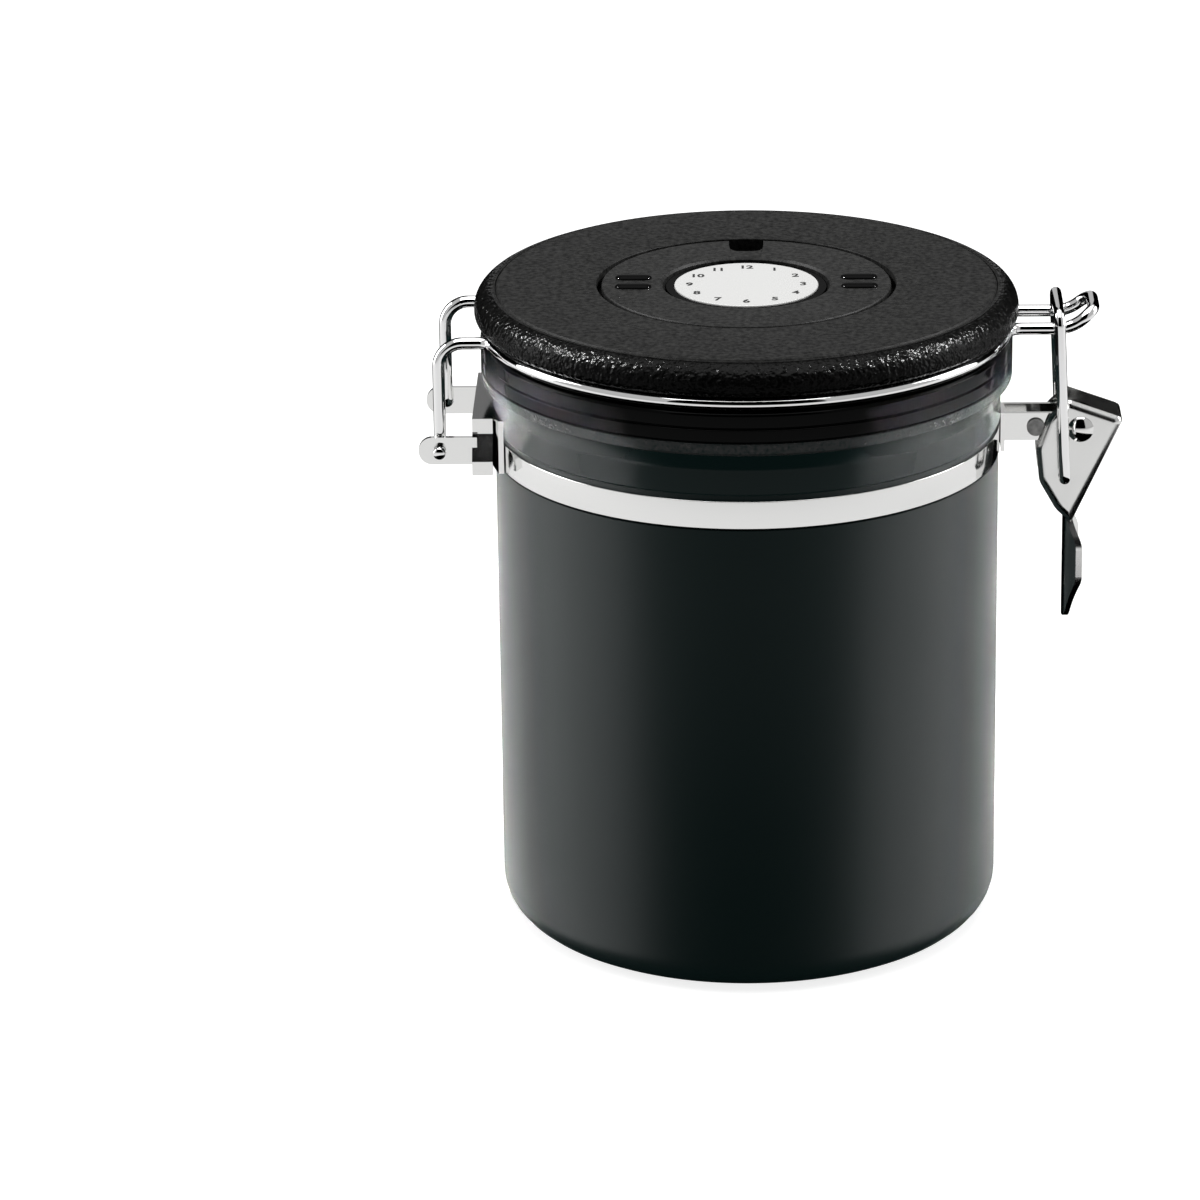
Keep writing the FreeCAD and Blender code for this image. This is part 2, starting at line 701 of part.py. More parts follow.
for x, y in screw_points:
    lid_cover = lid_cover.fuse(rod_z(screw_boss_radius, x, y, insert_floor_z, lid_top_z - lid_top_plate / 2))
    lid_cover = lid_cover.cut(
        rod_z(screw_shank_radius + screw_fit, x, y, insert_floor_z,
              insert_floor_z + screw_engagement + screw_fit))
lid_cover = lid_cover.cut(rod_z(hub_screw_radius + screw_fit, 0, 0, cover_floor_z, recess_z))
vent_exit_y = ring_radius - notch_depth / 2
lid_cover = lid_cover.cut(rod_z(vent_radius, 0, vent_exit_y, cover_floor_z, recess_z))
lid_cover = lid_cover.removeSplitter()
save("lid_cover", lid_cover)

# Lid insert: glossy moulded plate whose plug enters the mouth and whose flange holds the wire and the seal
seal_outer_radius = wire_circle_radius - wire_radius - seal_outer_gap
flange_low_z = seal_top_z + seal_fit
shoulder_z = rim_top_z + seal_gap + seal_rounding
lid_insert = turned([
    (0, plug_bottom_z, 0),
    (plug_radius, plug_bottom_z, seal_rounding),
    (plug_radius, shoulder_z, 0),
    (seal_inner_radius - seal_fit, shoulder_z, 0),
    (seal_inner_radius - seal_fit, flange_low_z, 0),
    (insert_radius, flange_low_z, 0),
    (insert_radius, insert_top_z, 0),
    (plug_radius - insert_plate, insert_top_z, 0),
    (plug_radius - insert_plate, insert_floor_z, 0),
    (0, insert_floor_z, 0),
])
for x, y in screw_points:
    lid_insert = lid_insert.cut(rod_z(screw_shank_radius + screw_fit, x, y, plug_bottom_z, insert_floor_z))
for x, y in around(vent_count, vent_circle_radius):
    lid_insert = lid_insert.cut(rod_z(vent_radius, x, y, plug_bottom_z, insert_floor_z))
lid_insert = lid_insert.cut(rod_z(flap_stem_radius + flap_stem_fit, 0, 0, plug_bottom_z, insert_floor_z))
save("lid_insert", lid_insert)

# Silicone seal between the flange of the insert and the rolled rim
lid_seal = turned([
    (seal_inner_radius, rim_top_z + seal_gap, seal_rounding),
    (seal_outer_radius, rim_top_z + seal_gap, seal_rounding),
    (seal_outer_radius, seal_top_z, seal_rounding),
    (seal_inner_radius, seal_top_z, seal_rounding),
])
save("lid_seal", lid_seal)

# Slotted screws that hold the insert up against the bosses of the cover
screws = []
for x, y in screw_points:
    screw = rod_z(screw_head_radius, x, y, plug_bottom_z - screw_head_height, plug_bottom_z)
    screw = screw.fuse(rod_z(screw_shank_radius, x, y, plug_bottom_z, insert_floor_z + screw_engagement))
    slot = Part.makeBox(2 * screw_head_radius, screw_slot_width, screw_slot_depth, Vector(
        x - screw_head_radius, y - screw_slot_width / 2, plug_bottom_z - screw_head_height))
    screws.append(screw.cut(slot))
save("lid_screws", Part.makeCompound(screws))

# Date ring: turns in the pocket round the hub, with two grips and a window notch in its outer edge
lip_top_z = ring_bottom_z + ring_lip_height
date_ring = turned([
    (ring_lip_radius, ring_bottom_z, 0),
    (ring_radius, ring_bottom_z, 0),
    (ring_radius, lid_top_z, lid_crown_step),
    (ring_opening_radius + ring_chamfer, lid_top_z, 0),
    (ring_opening_radius, lid_top_z - ring_chamfer, 0),
    (ring_opening_radius, lip_top_z, 0),
    (ring_lip_radius, lip_top_z, 0),
])
notch = plate([
    (-notch_half_width, ring_radius - notch_depth, notch_rounding),
    (notch_half_width, ring_radius - notch_depth, notch_rounding),
    (notch_half_width, ring_radius + notch_depth, 0),
    (-notch_half_width, ring_radius + notch_depth, 0),
], 0, ring_thickness + ring_float)
notch.rotate(Vector(0, 0, 0), Vector(1, 0, 0), -90)
notch.translate(Vector(0, 0, lid_top_z + ring_float))
date_ring = date_ring.cut(notch)
for side in (-1, 1):
    for y in (-grip_pitch / 2, grip_pitch / 2):
        grip = plate([
            (side * grip_centre_x - grip_length / 2, lid_top_z - grip_height, 0),
            (side * grip_centre_x + grip_length / 2, lid_top_z - grip_height, 0),
            (side * grip_centre_x + grip_length / 2, lid_top_z + grip_height, grip_rounding),
            (side * grip_centre_x - grip_length / 2, lid_top_z + grip_height, grip_rounding),
        ], y - grip_width / 2, y + grip_width / 2)
        date_ring = date_ring.fuse(grip)
date_ring = date_ring.removeSplitter()
save("date_ring", date_ring)

# Hub: screwed on the cover, holds the ring by its lip and carries the month disc in a shallow pocket
hub_post_radius = ring_lip_radius - ring_gap
hub_flange_radius = ring_opening_radius - hub_flange_gap
hub_flange_z = lip_top_z + ring_float
hub_top_z = lid_top_z - hub_sink
disc_radius = hub_flange_radius - hub_rim_width
disc_low_z = hub_top_z - hub_pocket_depth
hub_pocket_radius = disc_radius + disc_fit
dial_hub = turned([
    (0, recess_z, 0),
    (hub_post_radius, recess_z, 0),
    (hub_post_radius, hub_flange_z, 0),
    (hub_flange_radius, hub_flange_z, 0),
    (hub_flange_radius, hub_top_z, hub_pocket_depth),
    (hub_pocket_radius, hub_top_z, 0),
    (hub_pocket_radius, disc_low_z, 0),
    (0, disc_low_z, 0),
])
hub_screw_top_z = (recess_z + disc_low_z) / 2
dial_hub = dial_hub.cut(rod_z(hub_screw_radius + screw_fit, 0, 0, recess_z, hub_screw_top_z + screw_fit))
save("dial_hub", dial_hub)

# Screw that holds the hub from below
hub_screw = rod_z(hub_screw_head_radius, 0, 0, cover_floor_z - hub_screw_head_height, cover_floor_z)
hub_screw = hub_screw.fuse(rod_z(hub_screw_radius, 0, 0, cover_floor_z, hub_screw_top_z))
hub_screw = hub_screw.cut(Part.makeBox(2 * hub_screw_head_radius, screw_slot_width, screw_slot_depth, Vector(
    -hub_screw_head_radius, -screw_slot_width / 2, cover_floor_z - hub_screw_head_height)))
save("hub_screw", hub_screw)

# Bright month disc
month_disc = turned([
    (0, disc_low_z, 0),
    (disc_radius, disc_low_z, 0),
    (disc_radius, disc_low_z + disc_thickness, disc_edge_round),
    (0, disc_low_z + disc_thickness, 0),
])
save("month_disc", month_disc)

# Vent flap: soft mushroom over the vent holes, held by a bead under the plate
flap_low_z = insert_floor_z + flap_seat_gap
bead_top = plug_bottom_z - flap_lift - flap_seat_gap
valve_flap = turned([
    (0, bead_top - flap_bead_height, 0),
    (flap_bead_radius, bead_top - flap_bead_height, flap_bead_height * ledge_round_share),
    (flap_bead_radius, bead_top, 0),
    (flap_stem_radius, bead_top, 0),
    (flap_stem_radius, flap_low_z, 0),
    (flap_radius, flap_low_z, 0),
    (flap_radius, flap_low_z + flap_thickness, flap_thickness * ledge_round_share),
    (0, flap_low_z + flap_thickness, 0),
])
save("valve_flap", valve_flap)

# Vent housing: perforated cup under the plate that keeps the filter in front of the vent
housing_top_z = plug_bottom_z - housing_fit
housing_low_z = housing_top_z - housing_height
housing_inner_radius = housing_radius - housing_wall
valve_housing = turned([
    (0, housing_low_z, 0),
    (housing_radius, housing_low_z, housing_floor),
    (housing_radius, housing_top_z, 0),
    (housing_inner_radius, housing_top_z, 0),
    (housing_inner_radius, housing_low_z + housing_floor, 0),
    (0, housing_low_z + housing_floor, 0),
])
for count, share in zip(grille_counts, grille_circle_shares):
    for x, y in around(count, housing_radius * share):
        valve_housing = valve_housing.cut(
            rod_z(grille_hole_radius, x, y, housing_low_z, housing_low_z + housing_floor))
save("valve_housing", valve_housing)

# Filter pad on the floor of the housing
filter_low_z = housing_low_z + housing_floor + housing_fit
valve_filter = rod_z(housing_inner_radius - filter_fit, 0, 0, filter_low_z, filter_low_z + filter_thickness)
save("valve_filter", valve_filter)
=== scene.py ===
"""Looks of a round storage canister with a wire-hinged lid, a toggle clamp and a date dial.

Metres, +Z up, origin at the centre of the base; hinge at -X, clamp at +X, front at -Y.
"""
from math import cos, pi, radians, sin, tan

import bmesh
import bpy
import numpy as np
from mathutils import Matrix, Vector


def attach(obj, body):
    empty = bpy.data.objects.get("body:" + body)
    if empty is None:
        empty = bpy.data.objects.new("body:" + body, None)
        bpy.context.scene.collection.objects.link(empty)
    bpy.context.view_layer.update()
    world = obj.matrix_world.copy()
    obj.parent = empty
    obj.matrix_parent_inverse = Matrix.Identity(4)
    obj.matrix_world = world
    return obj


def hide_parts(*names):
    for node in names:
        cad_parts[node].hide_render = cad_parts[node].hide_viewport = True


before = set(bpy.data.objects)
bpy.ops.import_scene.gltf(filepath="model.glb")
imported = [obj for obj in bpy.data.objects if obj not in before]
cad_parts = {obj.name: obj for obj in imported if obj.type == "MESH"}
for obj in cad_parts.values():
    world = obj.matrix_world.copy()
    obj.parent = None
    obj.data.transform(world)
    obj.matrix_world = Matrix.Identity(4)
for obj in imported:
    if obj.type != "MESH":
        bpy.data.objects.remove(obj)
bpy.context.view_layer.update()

mm = 0.001

# Canister body. One deep-drawn steel shell with a flat base, a groove for the band, a flared bead and a
# rolled rim. It is sprayed outside with a satin charcoal paint and left bare inside. The rim above the bead
# is glossy, and its colour is made near-black as painted shade from the lid above it.
body_radius = 62.0 * mm
body_wall = 0.8 * mm
base_corner = 10.0 * mm
groove_radius = 61.4 * mm
groove_low, groove_high = 120.9 * mm, 129.6 * mm
neck_radius = 62.4 * mm
neck_top = 136.2 * mm
bead_low, bead_top = 140.4 * mm, 143.4 * mm
bead_undercut = 1.5 * mm
rim_radius = 65.2 * mm
rim_line_depth, rim_line_height = 0.6 * mm, 0.6 * mm
upper_line = 146.9 * mm
rim_top = 151.2 * mm
rim_inner_radius = 59.2 * mm
curl_low = 148.2 * mm
rib_radius, rib_half, rib_crest, rib_rise = 45.0 * mm, 2.5 * mm, 0.825 * mm, 1.0 * mm


def filleted(corners, parts=8):
    """Closed outline through (u, v, fillet) corners.

    Each corner gives way to the arc of its fillet radius that touches both sides: it begins
    fillet / tan(half the corner's angle) before the corner and ends as far after it.
    """
    spots = np.array([c[:2] for c in corners], float)
    outline = []
    for here, before, after, (_, _, fillet) in zip(
            spots, np.roll(spots, 1, 0), np.roll(spots, -1, 0), corners):
        u = (before - here) / np.linalg.norm(before - here)
        v = (after - here) / np.linalg.norm(after - here)
        half = np.arccos(np.clip(u @ v, -1, 1)) / 2
        if fillet <= 0 or half > pi / 2 - 1e-3:
            outline.append(here[None])
            continue
        centre = here + (u + v) / np.linalg.norm(u + v) * fillet / sin(half)
        a = here + u * fillet / tan(half) - centre
        b = here + v * fillet / tan(half) - centre
        turn = pi - 2 * half
        t = np.linspace(0, 1, parts + 1)[:, None]
        outline.append(centre + (np.sin((1 - t) * turn) * a + np.sin(t * turn) * b) / sin(turn))
    return np.concatenate(outline)


def grid_faces(rows, columns, close_rows=False, close_columns=False):
    """Quads of a rows x columns grid of points, joined round where the grid closes on itself."""
    i = np.arange(rows if close_rows else rows - 1)[:, None]
    j = np.arange(columns if close_columns else columns - 1)[None, :]
    i2, j2 = (i + 1) % rows, (j + 1) % columns
    quads = [i * columns + j, i * columns + j2, i2 * columns + j2, i2 * columns + j]
    return np.stack(quads, -1).reshape(-1, 4)


def lathe(outline, turns=224):
    """Turned surface of a closed (r, z) outline: P(i, t) = (r_i cos t, r_i sin t, z_i)."""
    t = np.arange(turns) * 2 * pi / turns
    r, z = outline[:, :1], outline[:, 1:]
    points = np.stack([r * np.cos(t), r * np.sin(t), z + 0 * t], -1).reshape(-1, 3)
    return points, grid_faces(len(outline), turns, True, True)


def piece(name, points, faces, finish, body, slot, *nodes, crease=30):
    """New object from arrays of points and faces.

    Doubles are merged, normals face outwards and edges over crease degrees are sharp. It rides on a body,
    takes the finish given and hides the nodes that it stands for. The slot is not used.
    """
    mesh = bpy.data.meshes.new(name)
    mesh.from_pydata(np.asarray(points).tolist(), [], np.asarray(faces).tolist())
    work = bmesh.new()
    work.from_mesh(mesh)
    bmesh.ops.remove_doubles(work, verts=work.verts, dist=1e-7)
    bmesh.ops.recalc_face_normals(work, faces=work.faces)
    work.to_mesh(mesh)
    work.free()
    mesh.polygons.foreach_set("use_smooth", np.ones(len(mesh.polygons), bool))
    mesh.set_sharp_from_angle(angle=radians(crease))
    obj = bpy.data.objects.new(name, mesh)
    bpy.context.scene.collection.objects.link(obj)
    mesh.materials.append(finish)
    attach(obj, body)
    if nodes:
        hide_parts(*nodes)
    return obj


class Finish:
    """A material under construction: one Principled shader, with short calls for the nodes that feed it."""

    def __init__(self, name, colour, roughness, metallic=0.0, specular=0.5):
        self.material = bpy.data.materials.new(name)
        self.material.use_nodes = True
        self.tree = self.material.node_tree
        self.shader = self.tree.nodes["Principled BSDF"]
        self.set("Base Color", (*colour, 1.0))
        self.set("Roughness", roughness)
        self.set("Metallic", metallic)
        self.set("Specular IOR Level", specular)
        self.place = self.node("ShaderNodeTexCoord").outputs["Object"]

    def node(self, kind, **settings):
        made = self.tree.nodes.new(kind)
        for key, value in settings.items():
            setattr(made, key, value)
        return made

    def set(self, socket, value):
        self.shader.inputs[socket].default_value = value

    def link(self, source, target):
        self.tree.links.new(source, target)

    def feed(self, source, socket):
        self.link(source, self.shader.inputs[socket])

    def group(self, tree, **inputs):
        made = self.node("ShaderNodeGroup", node_tree=tree)
        self.link(self.place, made.inputs["Place"])
        for key, value in inputs.items():
            made.inputs[key.replace("_", " ").title()].default_value = value
        return made.outputs

    def bump(self, height, strength, depth, normal=None):
        made = self.node("ShaderNodeBump")
        made.inputs["Strength"].default_value = strength
        made.inputs["Distance"].default_value = depth
        self.link(height, made.inputs["Height"])
        if normal is not None:
            self.link(normal, made.inputs["Normal"])
        self.feed(made.outputs["Normal"], "Normal")
        return made.outputs["Normal"]

    def times(self, a, b):
        """Product of two values, each a socket or a number."""
        made = self.node("ShaderNodeMath", operation="MULTIPLY")
        for spot, value in zip(made.inputs, (a, b)):
            if isinstance(value, float):
                spot.default_value = value
            else:
                self.link(value, spot)
        return made.outputs["Value"]

    def ramp(self, share, low, high):
        """Value that runs from low to high with a mask of 0 to 1."""
        made = self.node("ShaderNodeMapRange")
        made.inputs["To Min"].default_value, made.inputs["To Max"].default_value = low, high
        self.link(share, made.inputs["Value"])
        return made.outputs["Result"]

    def between(self, share, low, high, socket):
        """Colour or value that runs from low to high with a mask of 0 to 1."""
        colours = isinstance(low, tuple)
        made = self.node("ShaderNodeMix", data_type="RGBA" if colours else "FLOAT")
        ends = ("A_Color", "B_Color") if colours else ("A_Float", "B_Float")
        for end, value in zip(ends, (low, high)):
            spot = next(s for s in made.inputs if s.identifier == end)
            spot.default_value = (*value, 1.0) if colours else value
        self.link(share, next(s for s in made.inputs if s.identifier == "Factor_Float"))
        wanted = "Result_Color" if colours else "Result_Float"
        result = next(s for s in made.outputs if s.identifier == wanted)
        self.feed(result, socket)
        return result


def effect(name, inputs, outputs):
    """Empty shader node group with named inputs (with their values) and outputs."""
    tree = bpy.data.node_groups.new(name, "ShaderNodeTree")
    tree.interface.new_socket("Place", in_out="INPUT", socket_type="NodeSocketVector")
    for key, value in inputs.items():
        tree.interface.new_socket(key, in_out="INPUT", socket_type="NodeSocketFloat").default_value = value
    for key in outputs:
        tree.interface.new_socket(key, in_out="OUTPUT", socket_type="NodeSocketFloat")
    return tree, tree.nodes.new("NodeGroupInput"), tree.nodes.new("NodeGroupOutput")


def sprayed_grain():
    """Fine even grain: two octaves of noise on the place, as a height about 0.5."""
    tree, given, out = effect("sprayed_grain", {"Scale": 900.0, "Detail": 2.0}, ["Height"])
    noise = tree.nodes.new("ShaderNodeTexNoise")
    tree.links.new(given.outputs["Place"], noise.inputs["Vector"])
    tree.links.new(given.outputs["Scale"], noise.inputs["Scale"])
    tree.links.new(given.outputs["Detail"], noise.inputs["Detail"])
    tree.links.new(noise.outputs["Fac"], out.inputs["Height"])
    return tree


def handling_marks():
    """Broad soft patches, as wiping and handling leave: slow noise stretched to the full 0 to 1."""
    tree, given, out = effect("handling_marks", {"Scale": 30.0}, ["Mask"])
    noise = tree.nodes.new("ShaderNodeTexNoise")
    noise.inputs["Detail"].default_value = 4.0
    spread = tree.nodes.new("ShaderNodeMapRange")
    spread.inputs["From Min"].default_value = 0.3
    spread.inputs["From Max"].default_value = 0.7
    tree.links.new(given.outputs["Place"], noise.inputs["Vector"])
    tree.links.new(given.outputs["Scale"], noise.inputs["Scale"])
    tree.links.new(noise.outputs["Fac"], spread.inputs["Value"])
    tree.links.new(spread.outputs["Result"], out.inputs["Mask"])
    return tree


def above_height():
    """Mask that rises from 0 to 1 over a short blend above a height."""
    tree, given, out = effect("above_height", {"Height": 0.1, "Blend": 0.001}, ["Mask"])
    split = tree.nodes.new("ShaderNodeSeparateXYZ")
    top = tree.nodes.new("ShaderNodeMath")
    spread = tree.nodes.new("ShaderNodeMapRange")
    tree.links.new(given.outputs["Place"], split.inputs["Vector"])
    tree.links.new(given.outputs["Height"], top.inputs[0])
    tree.links.new(given.outputs["Blend"], top.inputs[1])
    tree.links.new(split.outputs["Z"], spread.inputs["Value"])
    tree.links.new(given.outputs["Height"], spread.inputs["From Min"])
    tree.links.new(top.outputs["Value"], spread.inputs["From Max"])
    tree.links.new(spread.outputs["Result"], out.inputs["Mask"])
    return tree


grain = sprayed_grain()
marks = handling_marks()
height_mask = above_height()

charcoal = (0.0020, 0.0058, 0.0056)
paint = Finish("body_paint", charcoal, 0.4, specular=0.1)
worn = paint.ramp(paint.group(marks, scale=25.0)["Mask"], 0.37, 0.42)
on_neck = paint.group(height_mask, height=groove_high, blend=0.5 * mm)["Mask"]
paint.feed(paint.times(worn, paint.ramp(on_neck, 1.0, 0.48)), "Roughness")
fine = paint.bump(paint.group(grain, scale=1400.0)["Height"], 0.12, 0.05 * mm)
on_bead = paint.group(height_mask, height=bead_low, blend=0.3 * mm)["Mask"]
paint.bump(paint.times(paint.group(grain, scale=1500.0)["Height"], on_bead), 0.4, 0.2 * mm, fine)
flakes = paint.times(paint.group(marks, scale=1200.0)["Mask"], on_bead)
paint.between(flakes, charcoal, (0.03, 0.03, 0.03), "Base Color")
paint.between(flakes, 0.0, 0.8, "Metallic")

seam = bead_top + rim_line_height / 2
shell = [
    (0, 0, 0),
    (rib_radius - rib_half, 0, 0.8 * mm),
    (rib_radius - rib_crest, rib_rise, 0.8 * mm),
    (rib_radius + rib_crest, rib_rise, 0.8 * mm),
    (rib_radius + rib_half, 0, 0.8 * mm),
    (body_radius, 0, base_corner),
    (body_radius, 0.5 * groove_low, 0),
    (body_radius, groove_low, 0.2 * mm),
    (groove_radius, groove_low, 0.2 * mm),
    (groove_radius, groove_high, 0.3 * mm),
    (neck_radius, groove_high, 0.55 * mm),
    (neck_radius, neck_top, 5.0 * mm),
    (rim_radius - bead_undercut, bead_low, 0.4 * mm),
    (rim_radius, bead_low, 0.9 * mm),
    (rim_radius, bead_top, 0.25 * mm),
    (rim_radius - rim_line_depth, seam, 0),
    (rim_radius - rim_line_depth - body_wall, seam, 0),
    (rim_radius - rim_line_depth - body_wall, bead_low + body_wall, 0),
    (rim_radius - bead_undercut - body_wall, bead_low + body_wall, 0),
    (neck_radius - body_wall, neck_top, 5.0 * mm),
    (neck_radius - body_wall, groove_high + body_wall, 0),
    (groove_radius - body_wall, groove_high + body_wall, 0),
    (groove_radius - body_wall, groove_low - body_wall, 0),
    (body_radius - body_wall, groove_low - body_wall, 0),
    (body_radius - body_wall, body_wall, base_corner - body_wall),
    (rib_radius + rib_half, body_wall, 0.8 * mm),
    (rib_radius + rib_crest, rib_rise + body_wall, 0.8 * mm),
    (rib_radius - rib_crest, rib_rise + body_wall, 0.8 * mm),
    (rib_radius - rib_half, body_wall, 0.8 * mm),
    (0, body_wall, 0),
]
painted_shell = piece("painted_shell", *lathe(filleted(shell)), paint.material,
                      "canister", "body_paint", "canister_body")

inside_steel = Finish("inside_steel", (0.5, 0.5, 0.49), 0.32, metallic=1.0)
inside_steel.between(inside_steel.group(marks, scale=40.0)["Mask"], 0.28, 0.38, "Roughness")
inside_steel.bump(inside_steel.group(grain, scale=1800.0)["Height"], 0.08, 0.03 * mm)
painted_shell.data.materials.append(inside_steel.material)
count = len(painted_shell.data.polygons)
centres, normals = np.empty(3 * count), np.empty(3 * count)
painted_shell.data.polygons.foreach_get("center", centres)
painted_shell.data.polygons.foreach_get("normal", normals)
centres, normals = centres.reshape(-1, 3), normals.reshape(-1, 3)
to_axis = (centres[:, :2] * normals[:, :2]).sum(1) < -0.2 * np.linalg.norm(centres[:, :2], axis=1)
floor_side = (normals[:, 2] > 0.3) & (centres[:, 2] < base_corner + body_wall)
painted_shell.data.polygons.foreach_set("material_index", (to_axis | floor_side).astype(np.int32))

# Rim above the bead: the same paint with a glossier finish. Its near-black colour is painted shade from the
# lid's overhang.
shaded_enamel = Finish("rim_enamel_painted_shade", (0.0003, 0.0004, 0.0004), 0.07, specular=0.06)
shaded_enamel.between(shaded_enamel.group(marks, scale=60.0)["Mask"], 0.05, 0.1, "Roughness")
rim = filleted([
    (rim_radius - rim_line_depth, seam, 0),
    (rim_radius, bead_top + rim_line_height, 0.25 * mm),
    (rim_radius, upper_line, 0.25 * mm),
    (rim_radius - rim_line_depth, upper_line + rim_line_height / 2, 0.12 * mm),
    (rim_radius, upper_line + rim_line_height, 0.25 * mm),
    (rim_radius, rim_top, 0.9 * mm),
    (rim_inner_radius, rim_top, 0.9 * mm),
    (rim_inner_radius, curl_low, 0.9 * mm),
    (rim_radius - rim_line_depth - body_wall, curl_low, 0),
    (rim_radius - rim_line_depth - body_wall, seam, 0),
])
rolled_rim = piece("rolled_rim", *lathe(rim, 288), shaded_enamel.material, "canister", "body_paint")

# Clamp band. A strip of polished stainless steel, bent round the groove and drawn tight by the clamp's rivet.
# Its face is flat across and carries fine lengthwise polishing lines.
band_low, band_high = 121.3 * mm, 128.2 * mm
band_inner, band_outer = 61.46 * mm, 62.26 * mm
band_crown = 0.06 * mm


def polishing_lines():
    """Fine lines round the axis: noise that changes fast with height and slowly round the strip."""
    tree, given, out = effect("polishing_lines", {"Scale": 1.0}, ["Height"])
    stretch = tree.nodes.new("ShaderNodeVectorMath")
    stretch.operation = "MULTIPLY"
    stretch.inputs[1].default_value = (40.0, 40.0, 6000.0)
    noise = tree.nodes.new("ShaderNodeTexNoise")
    noise.inputs["Detail"].default_value = 3.0
    tree.links.new(given.outputs["Place"], stretch.inputs[0])
    tree.links.new(stretch.outputs["Vector"], noise.inputs["Vector"])
    tree.links.new(given.outputs["Scale"], noise.inputs["Scale"])
    tree.links.new(noise.outputs["Fac"], out.inputs["Height"])
    return tree


lines = polishing_lines()
bright = Finish("bright_steel", (0.86, 0.86, 0.85), 0.08, metallic=1.0)
bright.between(bright.group(marks, scale=45.0)["Mask"], 0.06, 0.12, "Roughness")
bright.bump(bright.group(lines)["Height"], 0.06, 0.02 * mm)

band = filleted([
    (band_inner, band_low, 0),
    (band_outer, band_low, 0.2 * mm),
    (band_outer, band_low + 0.5 * (band_high - band_low), 0),
    (band_outer, band_high, 0.2 * mm),
    (band_inner, band_high, 0),
])
piece("steel_band", *lathe(band, 288), bright.material, "canister", "bright_steel", "clamp_band")

# Hinge bracket. A strap of bright sheet, bent in steps and fixed over the band, with two ears in which
# the lid's wire turns. It is bright all over except its flat top, which is painted a darker grey as a
# painted reflection of the dark surroundings that it mirrors under the rim.
strap_top, reflection_mask_depth, reflection_mask_blend = 134.4 * mm, 0.1 * mm, 0.05 * mm
strap_bright, strap_painted_reflection = (0.86, 0.86, 0.85), (0.16, 0.16, 0.16)


def dress(finish, *nodes):
    """Give CAD nodes a finish in place of their plain material."""
    for node in nodes:
        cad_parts[node].data.materials.clear()
        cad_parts[node].data.materials.append(finish.material)


strap = Finish("strap_steel_painted_reflection", strap_bright, 0.1, metallic=1.0)
# The mask picks the strap's flat top, whose dark grey colour is a painted reflection of the dark rim and lid
# above it.
painted_reflection_top = strap.group(height_mask, height=strap_top - reflection_mask_depth, blend=reflection_mask_blend)["Mask"]
strap.between(painted_reflection_top, strap_bright, strap_painted_reflection, "Base Color")
strap.between(strap.group(marks, scale=45.0)["Mask"], 0.06, 0.14, "Roughness")
dress(strap, "hinge_bracket")

# Clamp bracket and lever pivot. The bracket is folded from the same bright sheet as the band, and the
# pivot is a polished rivet with domed heads that goes through its ears.
dress(bright, "latch_bracket", "lever_pivot")

# Clamp rivet. A plain zinc-plated rivet that draws the bracket's ears together and so tightens the band.
# Its heads are duller and a little rough.
rivet_dark, rivet_light = (0.2, 0.2, 0.2), (0.4, 0.4, 0.39)
rivet = Finish("rivet_steel", rivet_light, 0.4, metallic=1.0)
rivet.between(rivet.group(marks, scale=600.0)["Mask"], rivet_dark, rivet_light, "Base Color")
rivet.bump(rivet.group(grain, scale=1500.0)["Height"], 0.5, 0.1 * mm)
dress(rivet, "clamp_rivet")

# Toggle lever. A channel pressed from thicker sheet that turns on the pivot and runs out into a hollow
# thumb tab. Its flat flanks show a dulled, slightly brushed polish.
lever_steel = Finish("lever_steel", (0.8, 0.8, 0.79), 0.16, metallic=1.0)
lever_steel.between(lever_steel.group(marks, scale=60.0)["Mask"], 0.13, 0.22, "Roughness")
lever_steel.bump(lever_steel.group(grain, scale=2500.0)["Height"], 0.05, 0.02 * mm)
dress(lever_steel, "latch_lever")

# Lid wire and link. Each is one piece of round bright wire. The lid wire hooks into the hinge's ears, runs
# under the cover's edge and ends in a turned-up loop; the link hooks into the lever and its bar lies over
# that loop.
wire_radius, link_radius = 1.5 * mm, 1.4 * mm
wire_z, circle_radius, leave_bend = 153.3 * mm, 64.2 * mm, 4.0 * mm
hinge_x, hinge_z, hinge_y, hook_end = -74.8 * mm, 126.8 * mm, 16.9 * mm, 22.4 * mm
hook_bend, leg_bend = 1.7 * mm, 6.0 * mm
loop_y, tongue_x, tongue_radius, tongue_angle, tongue_corner = (
    7.25 * mm, 75.7 * mm, 9.5 * mm, radians(38), 4.0 * mm)
crank_x, crank_z, hook_y = 78.037 * mm, 115.162 * mm, 4.2 * mm
bar_x, bar_z, leg_y, link_corner, link_hook_bend = 76.1 * mm, 157.7 * mm, 10.55 * mm, 3.0 * mm, 1.6 * mm


def arc(centre, start, stop, parts=14):
    """Points on the circle about a centre, the short way from start to stop at even angles."""
    centre, start, stop = (np.asarray(p, float) for p in (centre, start, stop))
    a, b = start - centre, stop - centre
    turn = np.arccos(a @ b / np.linalg.norm(a) / np.linalg.norm(b))
    t = np.linspace(0, 1, parts + 1)[:, None]
    return centre + (np.sin((1 - t) * turn) * a + np.sin(t * turn) * b) / sin(turn)


def bent(corners, radii):
    """Open path through 3-D corners, where each inner corner gives way to an arc of its bend radius."""
    spots = np.array(corners, float)
    path = [spots[:1]]
    for before, here, after, radius in zip(spots, spots[1:], spots[2:], radii):
        u = (before - here) / np.linalg.norm(before - here)
        v = (after - here) / np.linalg.norm(after - here)
        half = np.arccos(u @ v) / 2
        centre = here + (u + v) / np.linalg.norm(u + v) * radius / sin(half)
        path.append(arc(centre, here + u * radius / tan(half), here + v * radius / tan(half)))
    return np.concatenate(path + [spots[-1:]])


